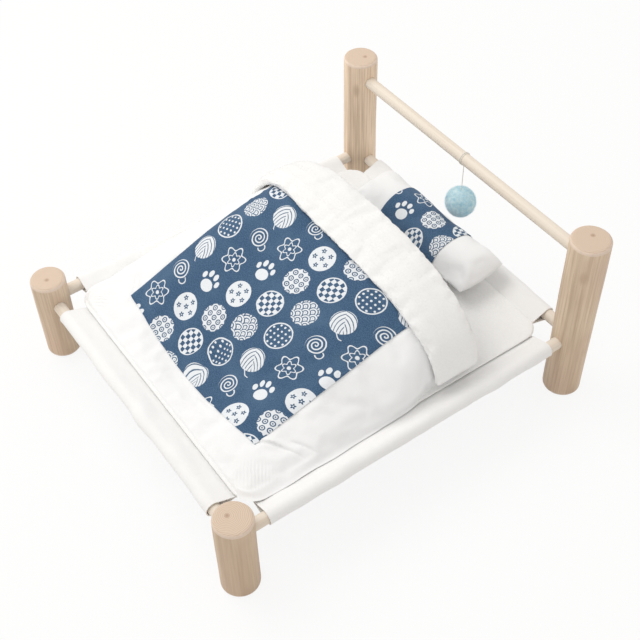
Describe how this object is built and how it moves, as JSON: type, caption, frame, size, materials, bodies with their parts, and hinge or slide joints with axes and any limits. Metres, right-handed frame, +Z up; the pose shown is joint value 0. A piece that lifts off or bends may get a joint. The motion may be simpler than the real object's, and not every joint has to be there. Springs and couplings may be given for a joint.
{
  "type": "elevated pet bed",
  "caption": "Low timber-framed pet bed with a cloth sling, a padded sleeping bag, a pillow and a hanging pompom toy",
  "frame": {"origin": "on the floor, at the middle of the four posts", "axes": "+Z up, +Y towards the head of the bed, where the tall posts, the pillow and the toy are, +X to the right seen from the foot"},
  "size_m": [0.469, 0.521, 0.248],
  "materials": {
    "post_wood": "sanded bare log",
    "dowel_wood": "sanded bare dowel",
    "canvas": "plain woven cotton",
    "plush": "short pile plush",
    "quilt_cotton": "woven cotton",
    "printed_cotton": "denim-blue woven print",
    "string": "twisted thread",
    "wool": "felted wool ball"
  },
  "bodies": {
    "frame": {"foot_post_left": "post_wood", "foot_post_right": "post_wood", "head_post_left": "post_wood", "head_post_right": "post_wood", "side_rail_left": "dowel_wood", "side_rail_right": "dowel_wood", "foot_rail": "dowel_wood", "head_rail": "dowel_wood", "toy_rail": "dowel_wood", "sling": "canvas"},
    "sleeping_bag": {"mattress_pad": "plush", "quilt": "quilt_cotton", "quilt_patch": "printed_cotton", "quilt_cuff": "plush"},
    "pillow": {"pillow": "quilt_cotton", "pillow_band": "printed_cotton"},
    "toy_loop": {"toy_loop": "string"},
    "toy_knot": {"toy_knot": "string"},
    "toy": {"toy_cord": "string", "pompom": "wool"}
  },
  "joints": [
    {"name": "bag_lift", "type": "slide", "parent": "frame", "child": "sleeping_bag", "axis": [0, -0.4226, 0.9063], "range_m": [0, 0.25]},
    {"name": "pillow_lift", "type": "slide", "parent": "sleeping_bag", "child": "pillow", "axis": [0, -0.4226, 0.9063], "range_m": [0, 0.2]},
    {"name": "toy_slide", "type": "slide", "parent": "frame", "child": "toy_loop", "axis": [1, 0, 0], "range_m": [-0.11, 0.11]},
    {"name": "toy_swing", "type": "hinge", "parent": "toy_loop", "child": "toy_knot", "pos_m": [0, 0.238, 0.2086], "axis": [1, 0, 0], "range_deg": [-75, 75]},
    {"name": "toy_sway", "type": "hinge", "parent": "toy_knot", "child": "toy", "pos_m": [0, 0.238, 0.2086], "axis": [0, 1, 0], "range_deg": [-45, 45]}
  ]
}
